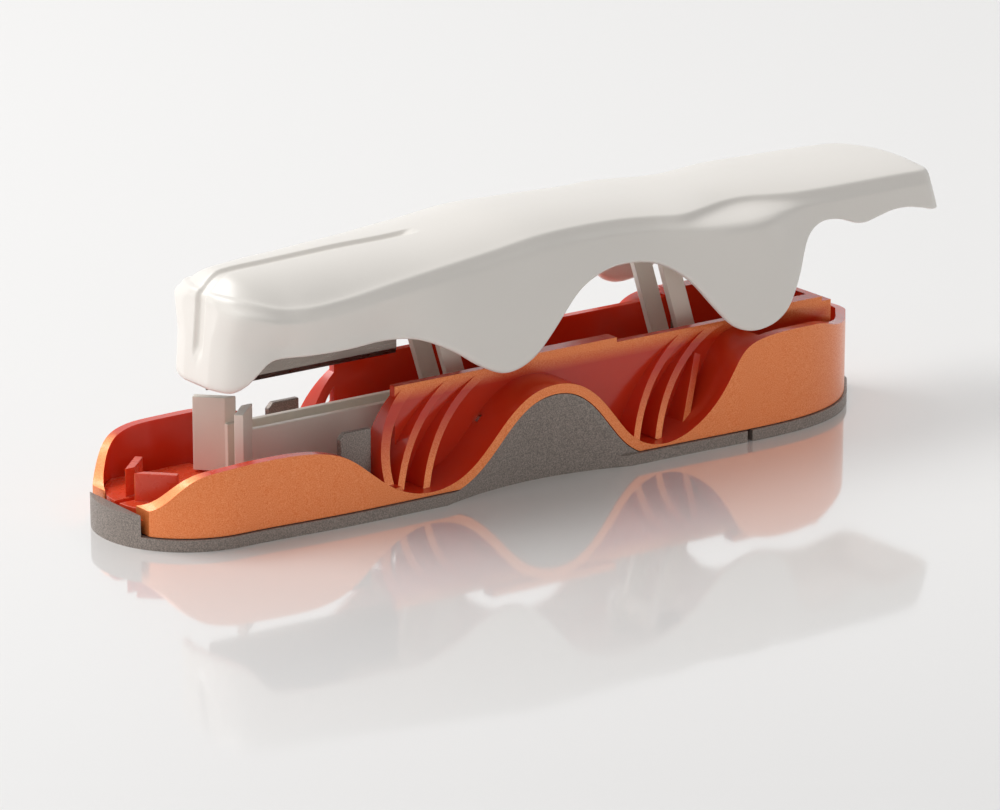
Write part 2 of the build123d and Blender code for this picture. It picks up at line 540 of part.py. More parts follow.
def make_return_springs(pivot_x):
    """Torsion springs on the lower pins, one on each side. They lift the lever."""
    room = SPINE_HALF_GAP - ARM_OUTER_Y
    pitch = (room - 2 * SPRING_WIRE) / SPRING_TURNS
    height = pitch * SPRING_TURNS
    coil = Helix(pitch, height, SPRING_MEAN_RADIUS)
    wire = sweep(Plane(origin=coil @ 0, z_dir=coil % 0) * Circle(SPRING_WIRE / 2), path=coil, is_frenet=True)
    lower_leg = Pos(*(coil @ 0)) * Rot(90, 0, 0) * Cylinder(SPRING_WIRE / 2, SPRING_LEG,
                                                            align=(Align.CENTER, Align.CENTER, Align.MIN))
    upper_leg = Pos(*(coil @ 1)) * Rot(90, 0, 0) * Cylinder(SPRING_WIRE / 2, SPRING_LEG,
                                                            align=(Align.CENTER, Align.CENTER, Align.MIN))
    spring = wire + lower_leg + upper_leg
    start = ARM_OUTER_Y + SPRING_WIRE
    placed = Pos(pivot_x, start, PIVOT_Z) * Rot(-90, 0, 0) * spring
    return both_sides(placed)


def make_lever_cover():
    """White lever shell, drawn pressed down and then raised."""
    outer = lever_form(0)
    shell = outer - lever_form(LEVER_WALL)
    groove = outer - lever_form(GROOVE_DEPTH)
    groove &= box(-BIG, GROOVE_REAR_X, -GROOVE_HALF_WIDTH, GROOVE_HALF_WIDTH, GROOVE_FOOT_Z, BIG)
    shell -= groove
    shell -= below(SKIRT_STATIONS)
    return LIFT * shell


def make_blade():
    """Steel blade with its sloping lower edge ground on both faces."""
    outline = [(BLADE_FRONT_X, BLADE_EDGE_FRONT_Z), (BLADE_REAR_X, BLADE_EDGE_REAR_Z),
               (BLADE_REAR_X, BLADE_TOP_Z), (BLADE_FRONT_X, BLADE_TOP_Z)]
    plate = side_prism(outline, BLADE_THICKNESS / 2)
    slope = math.degrees(math.atan2(BLADE_EDGE_REAR_Z - BLADE_EDGE_FRONT_Z, BLADE_REAR_X - BLADE_FRONT_X))
    middle = ((BLADE_FRONT_X + BLADE_REAR_X) / 2, (BLADE_EDGE_FRONT_Z + BLADE_EDGE_REAR_Z) / 2)
    side = Polyline((0.02, 0), (BLADE_THICKNESS, BLADE_BEVEL), (BLADE_THICKNESS, -1), (0.02, -1), close=True)
    grind = extrude(Plane.YZ * make_face(side), BIG / 2, both=True)
    grind = Pos(middle[0], 0, middle[1]) * Rot(0, -slope, 0) * grind
    plate -= both_sides(grind)
    for x in (BLADE_REAR_X - RIVET_INSET, HOLDER_FRONT_X + RIVET_INSET):
        plate -= disc_y(x, RIVET_Z, RIVET_RADIUS, -1, 1)
    return LIFT * plate


def make_blade_holder():
    """Cream block under the lever's roof that clamps the rear half of the blade."""
    block = box(HOLDER_FRONT_X, HOLDER_REAR_X, -HOLDER_HALF_WIDTH, HOLDER_HALF_WIDTH, HOLDER_BOTTOM_Z, BIG)
    block &= lever_form(LEVER_WALL)
    block -= box(-BIG, BIG, -BLADE_THICKNESS / 2, BLADE_THICKNESS / 2, 0, BLADE_TOP_Z)
    for x in (BLADE_REAR_X - RIVET_INSET, HOLDER_FRONT_X + RIVET_INSET):
        block -= disc_y(x, RIVET_Z, RIVET_RADIUS, -BIG / 4, BIG / 4)
    return LIFT * block


def make_blade_rivets():
    """Two rivets through the holder and the blade."""
    rivets = None
    for x in (BLADE_REAR_X - RIVET_INSET, HOLDER_FRONT_X + RIVET_INSET):
        rivet = disc_y(x, RIVET_Z, RIVET_RADIUS, -HOLDER_HALF_WIDTH, HOLDER_HALF_WIDTH)
        rivet += both_sides(disc_y(x, RIVET_Z, RIVET_RADIUS * 1.5, HOLDER_HALF_WIDTH, HOLDER_HALF_WIDTH + 0.3))
        rivets = rivet if rivets is None else rivets + rivet
    return LIFT * rivets


def make_pivot_block(pivot_x):
    """White block under the lever's roof with the two ears that an upper pin passes through."""
    x = pivot_x + CLOSED_PIN_DX
    ears = box(x - EAR_RADIUS, x + EAR_RADIUS, EAR_INNER_Y, EAR_OUTER_Y, CLOSED_PIN_Z, BIG)
    ears += disc_y(x, CLOSED_PIN_Z, EAR_RADIUS, EAR_INNER_Y, EAR_OUTER_Y)
    ears = both_sides(ears)
    roof = lever_form(LEVER_WALL)
    web = roof - Pos(0, 0, -BLOCK_WEB) * roof
    web &= box(x - EAR_RADIUS, x + EAR_RADIUS, -EAR_OUTER_Y, EAR_OUTER_Y, CLOSED_PIN_Z + EAR_RADIUS, BIG)
    block = (ears & roof) + web
    block -= disc_y(x, CLOSED_PIN_Z, PIN_RADIUS + RUNNING_GAP, -BIG / 4, BIG / 4)
    return LIFT * block


def make_screws(x):
    """Two screws from below, one on each side."""
    top = SCREW_RECESS + SCREW_HEAD
    screw = post(x, SCREW_Y, SCREW_HEAD_RADIUS, SCREW_RECESS, top)
    screw += post(x, SCREW_Y, SCREW_RADIUS, SCREW_RECESS, top + SCREW_LENGTH)
    for turn in (0, 90):
        slot = Box(2 * SCREW_HEAD_RADIUS, SCREW_SLOT_WIDTH, SCREW_SLOT_WIDTH)
        screw -= Pos(x, SCREW_Y, SCREW_RECESS) * Rot(0, 0, turn) * slot
    return both_sides(screw)


def main():
    """Write one file per piece."""
    os.makedirs("parts", exist_ok=True)
    pieces = {
        "base_tray": make_base_tray(),
        "rear_cover": make_rear_cover(),
        "tray_screws": make_screws(TRAY_SCREW_X),
        "cover_screws": make_screws(COVER_SCREW_X),
        "body_housing": make_housing(),
        "pill_cradle": make_pill_cradle(),
        "front_lower_pins": make_lower_pins(FRONT_PIVOT_X),
        "rear_lower_pins": make_lower_pins(REAR_PIVOT_X),
        "front_return_springs": make_return_springs(FRONT_PIVOT_X),
        "rear_return_springs": make_return_springs(REAR_PIVOT_X),
        "jaw_carriage": make_jaw_carriage(),
        "jaw_slider": make_jaw_slider(),
        "front_swing_arm": make_swing_arm(FRONT_PIVOT_X),
        "rear_swing_arm": make_swing_arm(REAR_PIVOT_X),
        "front_upper_pin": make_upper_pin(FRONT_PIVOT_X),
        "rear_upper_pin": make_upper_pin(REAR_PIVOT_X),
        "lever_cover": make_lever_cover(),
        "blade": make_blade(),
        "blade_holder": make_blade_holder(),
        "blade_rivets": make_blade_rivets(),
        "front_pivot_block": make_pivot_block(FRONT_PIVOT_X),
        "rear_pivot_block": make_pivot_block(REAR_PIVOT_X),
    }
    for name, piece in pieces.items():
        export_step(piece, f"parts/{name}.step")
    print("lift of the lever", round(LIFT_X, 2), round(LIFT_Z, 2))


main()
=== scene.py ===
# %% [markdown]
# A press-down tablet splitter, standing open. The body, its moving jaw and the white lever come packed
# from the CAD model, and every shape made here keeps to their places. All lengths are in metres, so the
# millimetres that a designer thinks in are turned by one helper.

# %% The frame and the units
import json
import math

import bmesh
import bpy
from mathutils import Matrix, Vector

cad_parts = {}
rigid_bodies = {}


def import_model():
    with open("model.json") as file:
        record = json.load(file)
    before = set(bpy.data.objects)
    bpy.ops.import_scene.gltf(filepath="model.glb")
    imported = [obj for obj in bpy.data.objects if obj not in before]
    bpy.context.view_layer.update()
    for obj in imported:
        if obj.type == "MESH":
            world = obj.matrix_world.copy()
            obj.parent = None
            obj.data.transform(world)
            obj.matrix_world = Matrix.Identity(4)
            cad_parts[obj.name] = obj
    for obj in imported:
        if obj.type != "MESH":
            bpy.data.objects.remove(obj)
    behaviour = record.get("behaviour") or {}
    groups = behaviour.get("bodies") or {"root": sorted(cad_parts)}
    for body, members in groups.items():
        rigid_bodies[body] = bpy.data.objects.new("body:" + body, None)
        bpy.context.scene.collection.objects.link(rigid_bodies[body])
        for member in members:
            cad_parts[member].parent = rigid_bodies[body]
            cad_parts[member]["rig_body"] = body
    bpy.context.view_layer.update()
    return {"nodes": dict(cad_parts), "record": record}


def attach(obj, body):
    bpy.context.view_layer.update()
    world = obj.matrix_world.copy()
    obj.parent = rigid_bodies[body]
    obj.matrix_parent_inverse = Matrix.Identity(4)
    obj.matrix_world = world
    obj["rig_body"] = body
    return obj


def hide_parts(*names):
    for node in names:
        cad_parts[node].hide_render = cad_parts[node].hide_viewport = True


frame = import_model()
MM = 0.001
TINY = 1e-6


def mm(*lengths):
    """A vector in metres from lengths in millimetres."""
    return Vector(length * MM for length in lengths)


slot_of = {entry["node"]: entry["material_slot"] for entry in frame["record"]["subparts"]}
body_of = {name: node["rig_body"] for name, node in frame["nodes"].items()}

# %% [markdown]
# The camera is a long lens a little above the table, as product photographers use, so that the long
# body keeps nearly parallel edges. One known point of the body, the foot of the lip at the nose, is
# tied to the pixel where the photograph shows it, and the camera is stood back from it along the view.

# %% The camera
FRAME_WIDTH_PX, FRAME_HEIGHT_PX = 1000, 810
SENSOR_WIDTH_MM = 36
FOCAL_PX = 5228
VIEW_AZIMUTH, VIEW_ELEVATION = math.radians(35.5), math.radians(16.8)
CAMERA_DISTANCE = 720 * MM
ANCHOR = mm(-50.7, 0, 11.3)
ANCHOR_PX = (189.1, 443)

cos_az, sin_az = math.cos(VIEW_AZIMUTH), math.sin(VIEW_AZIMUTH)
cos_el, sin_el = math.cos(VIEW_ELEVATION), math.sin(VIEW_ELEVATION)
right = Vector((cos_az, -sin_az, 0))
forward = Vector((sin_az * cos_el, cos_az * cos_el, -sin_el))
upward = Vector((sin_az * sin_el, cos_az * sin_el, cos_el))
across_px = ANCHOR_PX[0] - FRAME_WIDTH_PX / 2
down_px = ANCHOR_PX[1] - FRAME_HEIGHT_PX / 2
metres_per_px = CAMERA_DISTANCE / FOCAL_PX
eye = ANCHOR - forward * CAMERA_DISTANCE - right * across_px * metres_per_px + upward * down_px * metres_per_px

camera_data = bpy.data.cameras.new("camera")
camera_data.sensor_width = SENSOR_WIDTH_MM
camera_data.lens = FOCAL_PX * SENSOR_WIDTH_MM / FRAME_WIDTH_PX
camera = bpy.data.objects.new("camera", camera_data)
turn = Matrix((right, upward, -forward)).transposed().to_4x4()
camera.matrix_world = Matrix.Translation(eye) @ turn
bpy.context.scene.collection.objects.link(camera)
bpy.context.scene.camera = camera
bpy.context.scene.view_settings.view_transform = "Standard"
print("camera stands at", [round(value, 3) for value in eye])

# %% [markdown]
# Every material is a small tree of nodes around one Principled shader. Two helpers keep the trees
# readable: one turns a colour as a designer writes it, in sRGB hex, to the linear values that the
# renderer adds up, and one adds a node with its settings and its links in a single call.

# %% Helpers for materials
def colour(code):
    """A linear RGBA colour from an sRGB hex code."""
    channels = [int(code[i:i + 2], 16) / 255 for i in (1, 3, 5)]
    return (*((c / 12.92 if c <= 0.04045 else ((c + 0.055) / 1.055) ** 2.4) for c in channels), 1.0)


def add(tree, kind, settings=None, **inputs):
    """A new node of this kind: settings are its own, inputs are values or other nodes' outputs."""
    node = tree.nodes.new("ShaderNode" + kind)
    for name, value in (settings or {}).items():
        setattr(node, name, value)
    for name, value in inputs.items():
        key = int(name[1:]) if name[0] == "i" and name[1:].isdigit() else name.replace("_", " ")
        if isinstance(value, bpy.types.NodeSocket):
            tree.links.new(value, node.inputs[key])
        else:
            node.inputs[key].default_value = value
    return node


def new_material(name):
    """An empty node material with its output, its tree and its Object coordinates."""
    material = bpy.data.materials.new(name)
    material.use_nodes = True
    tree = material.node_tree
    tree.nodes.clear()
    output = add(tree, "OutputMaterial")
    place = add(tree, "TexCoord").outputs["Object"]
    return material, tree, output, place


def grain(tree, place, size_mm, detail=2.0):
    """Noise whose lumps are about this many millimetres across."""
    return add(tree, "TexNoise", Vector=place, Scale=1 / (size_mm * MM), Detail=detail).outputs["Fac"]


def spread(tree, value, low, high, start=0.3, end=0.7):
    """A value from start to end stretched to the range from low to high."""
    node = add(tree, "MapRange", Value=value, From_Min=start, From_Max=end, To_Min=low, To_Max=high)
    return node.outputs["Result"]


def relief(tree, height, depth_mm):
    """A normal bumped by a height from 0 to 1, this many millimetres deep."""
    return add(tree, "Bump", Height=height, Distance=depth_mm * MM, Strength=1.0).outputs["Normal"]


def blend_colours(tree, share, first, second):
    """A colour between two others, given as sockets or values."""
    node = add(tree, "Mix", {"data_type": "RGBA"}, i0=share, i6=first, i7=second)
    return node.outputs[2]


# %% [markdown]
# The lever is white ABS from a polished mould with a faint satin: a diffuse body under a clear skin
# with soft highlights. The slider and arms are the same plastic in cream. A very shallow grain keeps
# the highlights from looking like glass.

# %% Moulded ABS
def moulded_abs(name, code, roughness, grain_mm=1.2, grain_depth_mm=0.0015, subsurface=0.0):
    material, tree, output, place = new_material(name)
    surface = grain(tree, place, grain_mm)
    shader = add(
        tree, "BsdfPrincipled", Base_Color=colour(code), IOR=1.5,
        Roughness=spread(tree, surface, roughness - 0.03, roughness + 0.03),
        Subsurface_Weight=subsurface, Subsurface_Scale=1.0 * MM,
        Normal=relief(tree, surface, grain_depth_mm),
    )
    tree.links.new(shader.outputs["BSDF"], output.inputs["Surface"])
    return material


# %% [markdown]
# The base is ABS painted with a satin graphite lacquer: grey-brown, with fine light flakes that break
# up the highlight, like sandstone seen close.

# %% Graphite lacquer
def graphite_lacquer():
    material, tree, output, place = new_material("graphite_lacquer")
    flakes = grain(tree, place, 0.2, 1.0)
    tone = blend_colours(tree, spread(tree, flakes, 0, 1, 0.35, 0.7), colour("#756C66"), colour("#9C9087"))
    shader = add(
        tree, "BsdfPrincipled", Base_Color=tone, Metallic=0.35, IOR=1.5,
        Roughness=spread(tree, flakes, 0.5, 0.36), Normal=relief(tree, flakes, 0.006),
    )
    tree.links.new(shader.outputs["BSDF"], output.inputs["Surface"])
    return material


# %% [markdown]
# The housing is moulded in glossy translucent red and sprayed from outside with pearl orange lacquer.
# So the finish follows the way that a face looks: faces that look away from the middle carry the
# pearl, and inner walls and ribs show the red plastic. Fine mica in the pearl glitters like sand.

# %% Pearl orange over translucent red
BODY_FRONT_X, BODY_REAR_X = -42, 48
SPRAY_REACH_MM = (9.5, 12.0)
SPRAY_TOP_MM = (14.0, 16.0)
INNER_PEARL = 0.0


def looking_out(tree, place):
    """1 on faces that look away from the housing's long middle line, 0 on those that look inwards."""
    facing = add(tree, "SeparateXYZ", Vector=add(tree, "TexCoord").outputs["Normal"]).outputs
    point = add(tree, "SeparateXYZ", Vector=place).outputs
    middle = add(tree, "Clamp", Value=point["X"], Min=BODY_FRONT_X * MM, Max=BODY_REAR_X * MM).outputs[0]
    along = add(tree, "Math", {"operation": "SUBTRACT"}, i0=point["X"], i1=middle).outputs[0]
    arm = add(tree, "CombineXYZ", X=along, Y=point["Y"]).outputs[0]
    unit = add(tree, "VectorMath", {"operation": "NORMALIZE"}, i0=arm).outputs[0]
    flat = add(tree, "CombineXYZ", X=facing["X"], Y=facing["Y"]).outputs[0]
    away = add(tree, "VectorMath", {"operation": "DOT_PRODUCT"}, i0=unit, i1=flat).outputs["Value"]
    reach = add(tree, "VectorMath", {"operation": "LENGTH"}, i0=arm).outputs["Value"]
    outer = spread(tree, reach, INNER_PEARL, 1, *(length * MM for length in SPRAY_REACH_MM))
    upper = spread(tree, point["Z"], 0, 1, *(length * MM for length in SPRAY_TOP_MM))
    sprayed = add(tree, "Math", {"operation": "MAXIMUM"}, i0=outer, i1=upper).outputs[0]
    return add(tree, "Math", {"operation": "MULTIPLY"}, i0=spread(tree, away, 0, 1, 0.15, 0.35), i1=sprayed).outputs[0]


def housing_plastic():
    material, tree, output, place = new_material("pearl_over_red_plastic")
    mica = grain(tree, place, 0.16, 1.0)
    sparkle = spread(tree, mica, 0, 1, 0.3, 0.75)
    pearl_tone = blend_colours(tree, sparkle, colour("#E4702C"), colour("#F79A5C"))
    pearl = add(
        tree, "BsdfPrincipled", Base_Color=pearl_tone, Metallic=0.45, IOR=1.5, Coat_Weight=0.35,
        Coat_Roughness=0.12, Roughness=spread(tree, mica, 0.46, 0.32), Normal=relief(tree, mica, 0.01),
    )
    skin = grain(tree, place, 2.0)
    red = add(
        tree, "BsdfPrincipled", Base_Color=colour("#D63A1C"), IOR=1.5, Roughness=spread(tree, skin, 0.16, 0.24),
        Subsurface_Weight=0.35, Subsurface_Radius=(1.0, 0.25, 0.1), Subsurface_Scale=2.5 * MM,
    )
    mixed = add(tree, "MixShader", i0=looking_out(tree, place), i1=red.outputs[0], i2=pearl.outputs[0])
    tree.links.new(mixed.outputs[0], output.inputs["Surface"])
    return material


def insert_plastic():
    material, tree, output, place = new_material("red_insert_plastic")
    skin = grain(tree, place, 1.5)
    shader = add(
        tree, "BsdfPrincipled", Base_Color=colour("#DA4A28"), IOR=1.5, Roughness=spread(tree, skin, 0.24, 0.32),
        Subsurface_Weight=0.25, Subsurface_Radius=(1.0, 0.25, 0.1), Subsurface_Scale=2.0 * MM,
    )
    tree.links.new(shader.outputs["BSDF"], output.inputs["Surface"])
    return material


# %% [markdown]
# Metals keep the default index of refraction and take their look from roughness. The blade is rolled
# stainless strip, brushed along its length, and pins, screws and springs are plain drawn wire.

# %% Steels
def steel(name, code, roughness, streak_mm):
    material, tree, output, place = new_material(name)
    stretched = add(tree, "Mapping", Vector=place, Scale=(0.08, 1, 1)).outputs[0]
    streaks = grain(tree, stretched, streak_mm)
    shader = add(
        tree, "BsdfPrincipled", Base_Color=colour(code), Metallic=1.0,
        Roughness=spread(tree, streaks, roughness - 0.06, roughness + 0.06), Normal=relief(tree, streaks, 0.003),
    )
    tree.links.new(shader.outputs["BSDF"], output.inputs["Surface"])
    return material


finishes = {
    "graphite": graphite_lacquer(),
    "orange_housing": housing_plastic(),
    "orange_insert": insert_plastic(),
    "cream_plastic": moulded_abs("cream_abs", "#F0E9DC", 0.36),
    "white_plastic": moulded_abs("white_abs", "#F0EBE4", 0.34),
    "blade_steel": steel("rolled_blade_steel", "#8E847C", 0.3, 0.2),
    "pin_steel": steel("drawn_pin_steel", "#B8B4AE", 0.28, 0.3),
    "screw_steel": steel("plated_screw_steel", "#A9A6A1", 0.35, 0.3),
    "spring_steel": steel("spring_wire_steel", "#9C9892", 0.3, 0.15),
}
print("finishes:", len(finishes))

# %% [markdown]
# A CAD node arrives as loose triangles with a crease at every edge. A dressed copy stands for it: the
# triangles are merged and joined to whole faces, shading is smooth across gentle turns, and a small
# bevel gives each true edge the radius that a mould leaves, which is what catches the light.

# %% Dressing the CAD nodes
CREASE = math.radians(32)
FLAT_TURN = math.radians(1.0)
MERGE = 0.002 * MM


def finished(name, mesh, slot, body, *replaced):
    """A piece at the world origin with its finish, riding on its body, in place of CAD nodes."""
    piece = bpy.data.objects.new(name, mesh)
    bpy.context.scene.collection.objects.link(piece)
    mesh.materials.clear()
    mesh.materials.append(finishes[slot])
    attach(piece, body)
    if replaced:
        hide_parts(*replaced)
    return piece


def mesh_from(shape, name, crease=CREASE):
    """A mesh from a bmesh, smooth but for the edges that turn more than the crease."""
    for face in shape.faces:
        face.smooth = True
    for edge in shape.edges:
        edge.smooth = len(edge.link_faces) != 2 or edge.calc_face_angle(0) < crease
    mesh = bpy.data.meshes.new(name)
    shape.to_mesh(mesh)
    shape.free()
    return mesh


def dress(node, edge_mm=0.0):
    """A smooth-shaded copy of a CAD node with moulded edge radii."""
    shape = bmesh.new()
    shape.from_mesh(frame["nodes"][node].data)
    bmesh.ops.remove_doubles(shape, verts=shape.verts, dist=MERGE)
    bmesh.ops.dissolve_limit(shape, angle_limit=FLAT_TURN, verts=shape.verts, edges=shape.edges)
    mesh = mesh_from(shape, node + "_dressed")
    piece = finished(node + "_dressed", mesh, slot_of[node], body_of[node], node)
    if edge_mm:
        rounding = piece.modifiers.new("moulded_edges", "BEVEL")
        rounding.width = edge_mm * MM
        rounding.segments = 2
        rounding.limit_method = "ANGLE"
        rounding.angle_limit = CREASE
        rounding.harden_normals = True
    return piece


EDGE_RADII_MM = {
    "base_tray": 0.25, "rear_cover": 0.25, "body_housing": 0.2, "pill_cradle": 0.2, "jaw_slider": 0.2,
    "jaw_carriage": 0.2, "blade_holder": 0.2, "front_swing_arm": 0.2, "rear_swing_arm": 0.2,
}
for node, radius in EDGE_RADII_MM.items():
    dress(node, radius)
for node, object_ in frame["nodes"].items():
    object_.data.materials.clear()
    object_.data.materials.append(finishes[slot_of[node]])
print("dressed:", len(EDGE_RADII_MM))

# %% [markdown]
# The lever's cover is one thin shell, moulded in an open-and-shut tool: a gently crowned top, walls
# that fall from a soft ridge, and a waved skirt that dips to four lobes. It starts as a flat grid for
# the top. The grid's rim is then extruded down ring by ring, each ring taking its width from the
# section at its place along the lever, so that the surface follows through the corners unbroken.

# %% The lever's sections
LEVER_OPEN = mm(14.37, 0, 13.88)
RIDGE_END_X = (-62.9, 59.8)
FOOT_END_X = (-63.95, 61.3)
# Each row is a place along the closed lever and the half-widths there at the base, at the wall's middle,
# at the ledge below the ridge, and at the ridge, then the heights of the ridge and of the crown.
SECTIONS = [
    (-64.0, 9.2, 9.4, 11.0, 9.4, 18.7, 20.8),
    (-60.8, 9.5, 9.8, 11.3, 9.7, 18.8, 20.9),
    (-56.4, 9.7, 10.0, 11.6, 10.9, 17.7, 21.2),
    (-52.4, 10.9, 11.2, 12.4, 12.2, 17.6, 21.3),
    (-46.4, 11.3, 11.6, 12.6, 12.4, 18.0, 21.5),
    (-39.4, 11.0, 11.2, 12.8, 12.4, 18.9, 21.7),
    (-30.4, 14.1, 13.5, 12.9, 12.2, 19.9, 21.8),
    (-22.4, 14.6, 13.8, 12.7, 11.9, 20.7, 22.4),
    (-14.4, 14.7, 13.8, 12.5, 11.6, 21.6, 23.1),
    (-6.4, 14.8, 13.7, 11.9, 10.9, 21.7, 23.0),
    (1.6, 15.0, 13.7, 11.7, 10.7, 21.5, 22.6),
    (6.6, 15.3, 14.0, 12.2, 11.2, 21.2, 22.3),
    (11.1, 15.8, 14.8, 13.6, 12.2, 21.0, 22.0),
    (15.6, 16.6, 15.8, 15.2, 11.1, 21.0, 21.9),
    (20.6, 17.2, 16.3, 16.0, 9.5, 21.0, 21.9),
    (24.6, 17.2, 16.2, 15.6, 9.5, 21.1, 21.9),
    (28.6, 16.9, 15.4, 13.8, 10.6, 21.0, 21.9),
    (32.6, 15.4, 13.9, 12.6, 11.4, 20.9, 21.8),
    (37.6, 14.0, 12.8, 12.3, 11.5, 20.8, 21.6),
    (45.6, 12.8, 12.2, 12.0, 11.3, 20.7, 21.4),
    (52.6, 12.0, 11.8, 11.7, 11.1, 20.6, 21.2),
    (61.4, 11.0, 11.0, 11.0, 10.6, 20.2, 20.7),
]
BASE_Z, MIDDLE_Z = 0.5, 12.0
SKIRT_POINTS = [
    (-66, 5.5), (-62.8, 5.5), (-61.9, 6.1), (-60.8, 7), (-59, 9), (-57.8, 9.9), (-56, 10.2),
    (-46, 10.2), (-39, 10.3), (-35.4, 10), (-32.2, 8.8), (-29, 7.1), (-25.8, 5), (-21.2, 3.2),
    (-16.6, 4.6), (-12.8, 8.1), (-8.6, 12.6), (-3.6, 14.9), (1.6, 15.4), (6.4, 14.5), (10.6, 11.6),
    (14, 7.4), (17.4, 4), (22, 3), (26.8, 4.8), (30.2, 9.2), (32.8, 14), (36, 16), (40, 15.8),
    (44, 14.5), (48, 15.1), (50, 15.5), (53, 15.5), (56, 14.9), (59, 14.2), (64, 13.6),
]
LEDGE_DEPTH = 2.0
RIDGE_ROUNDING = 1.0
GROOVE_REAR, GROOVE_FOOT = -27.6, 9.4
GROOVE_HALF, GROOVE_DEEP = 1.25, 0.6
GROOVE_WALL = 0.5


def through(points, x):
    """The height at x of a smooth curve through points that are sorted by x."""
    if x <= points[0][0]:
        return points[0][1]
    if x >= points[-1][0]:
        return points[-1][1]
    k = next(i for i in range(len(points) - 1) if points[i + 1][0] >= x)
    (x0, y0), (x1, y1) = points[k], points[k + 1]
    before, after = points[max(k - 1, 0)], points[min(k + 2, len(points) - 1)]
    step = x1 - x0
    slope0 = (y1 - before[1]) / (x1 - before[0]) * step
    slope1 = (after[1] - y0) / (after[0] - x0) * step
    t = (x - x0) / step
    return (y0 * (2 * t**3 - 3 * t**2 + 1) + slope0 * (t**3 - 2 * t**2 + t)
            + y1 * (3 * t**2 - 2 * t**3) + slope1 * (t**3 - t**2))


def column(number):
    """One column of the sections as points over x."""
    return [(row[0], row[number]) for row in SECTIONS]


BASE_WIDTH, MIDDLE_WIDTH, LEDGE_WIDTH, RIDGE_WIDTH, RIDGE_HEIGHT, CROWN_HEIGHT = map(column, range(1, 7))


def cornered(width, x, ends, radius):
    """The half-width at x, drawn in at both ends to a plan corner of this radius."""
    inset = min(x - ends[0], ends[1] - x)
    if inset >= radius:
        return width
    return width - radius + math.sqrt(max(radius**2 - (radius - max(inset, 0))**2, 0))


# %% [markdown]
# The rings are named by how far down the wall they lie. The first three turn the ridge's soft edge,
# and the rest pass the ledge and the wall's middle down to the skirt. Near the middle line the rings
# on the front face are pushed back a little: that is the foot of the groove that runs up over the
# head, a sight line for setting the tablet under the blade.

# %% The lever's rings
CORNER_RADIUS = 6.2
TAIL_CORNER_RADIUS = 3.6
TOP_COLUMNS, TOP_ROWS = 132, 32
WALL_STEPS = 11


def groove_depth(x, y, z=GROOVE_FOOT + GROOVE_HALF):
    """How deep the groove is at a place on the top or front; both its ends are round."""
    beyond = max(x - (GROOVE_REAR - GROOVE_HALF), 0)
    below = max(GROOVE_FOOT + GROOVE_HALF - z, 0)
    distance = math.sqrt(beyond**2 + below**2 + y**2)
    return GROOVE_DEEP * min(max((GROOVE_HALF - distance) / GROOVE_WALL, 0), 1)


def wall_width(x, z):
    """The wall's half-width at x and at a height between the ledge and the skirt."""
    middle = through(MIDDLE_WIDTH, x)
    if z < MIDDLE_Z:
        base = through(BASE_WIDTH, x)
        return base + (middle - base) * (z - BASE_Z) / (MIDDLE_Z - BASE_Z)
    ledge_z = through(RIDGE_HEIGHT, x) - LEDGE_DEPTH
    return middle + (through(LEDGE_WIDTH, x) - middle) * (z - MIDDLE_Z) / (ledge_z - MIDDLE_Z)


def end_pair(share):
    """Where a ring ends at the nose and at the tail, at a share of the way down."""
    return [ridge + (foot - ridge) * share for ridge, foot in zip(RIDGE_END_X, FOOT_END_X)]


def place_ring(share_along, side, level):
    """The place in millimetres of one point of a ring, on the closed lever."""
    kind, share = level
    down = share if kind == "wall" else 0.0
    ends = end_pair(down)
    if kind == "ridge":
        ends = [ends[0] + RIDGE_ROUNDING * (1 - share), ends[1] - RIDGE_ROUNDING * (1 - share)]
    x = ends[0] + (ends[1] - ends[0]) * share_along
    ridge_z = through(RIDGE_HEIGHT, x)
    skirt_z = through(SKIRT_POINTS, x)
    radius = CORNER_RADIUS if x < 0 else TAIL_CORNER_RADIUS
    if kind == "ridge":
        width = through(RIDGE_WIDTH, x) - RIDGE_ROUNDING * (1 - share)
        z = ridge_z - RIDGE_ROUNDING * (1 - math.sqrt(max(1 - share**2, 0)))
    elif kind == "ledge":
        width = through(RIDGE_WIDTH, x) * (1 - share) + through(LEDGE_WIDTH, x) * share
        z = ridge_z - RIDGE_ROUNDING - (LEDGE_DEPTH - RIDGE_ROUNDING) * share
    else:
        z = ridge_z - LEDGE_DEPTH - (ridge_z - LEDGE_DEPTH - skirt_z) * share
        width = wall_width(x, z)
    y = side * cornered(width, x, ends, radius)
    if share_along < TINY:
        deep = groove_depth(x, y, z)
        tilt = share if kind == "ridge" else 1.0
        x += deep * tilt
        z -= deep * math.sqrt(1 - tilt**2)
    return x, y, z


def along(s):
    """Spread a share along the lever so that columns lie closer at both ends."""
    t = 2 * s - 1
    return 0.5 + 0.5 * (0.62 * t + 0.38 * math.sin(t * math.pi / 2))


def across(s, half_width):
    """Spread a share across the top so that rows lie closer at the groove's walls."""
    t = 2 * s - 1
    inner = GROOVE_HALF * 1.3
    share = abs(t)
    y = inner * share / 0.5 if share < 0.5 else inner + (half_width - inner) * (share - 0.5) / 0.5
    return math.copysign(y, t)


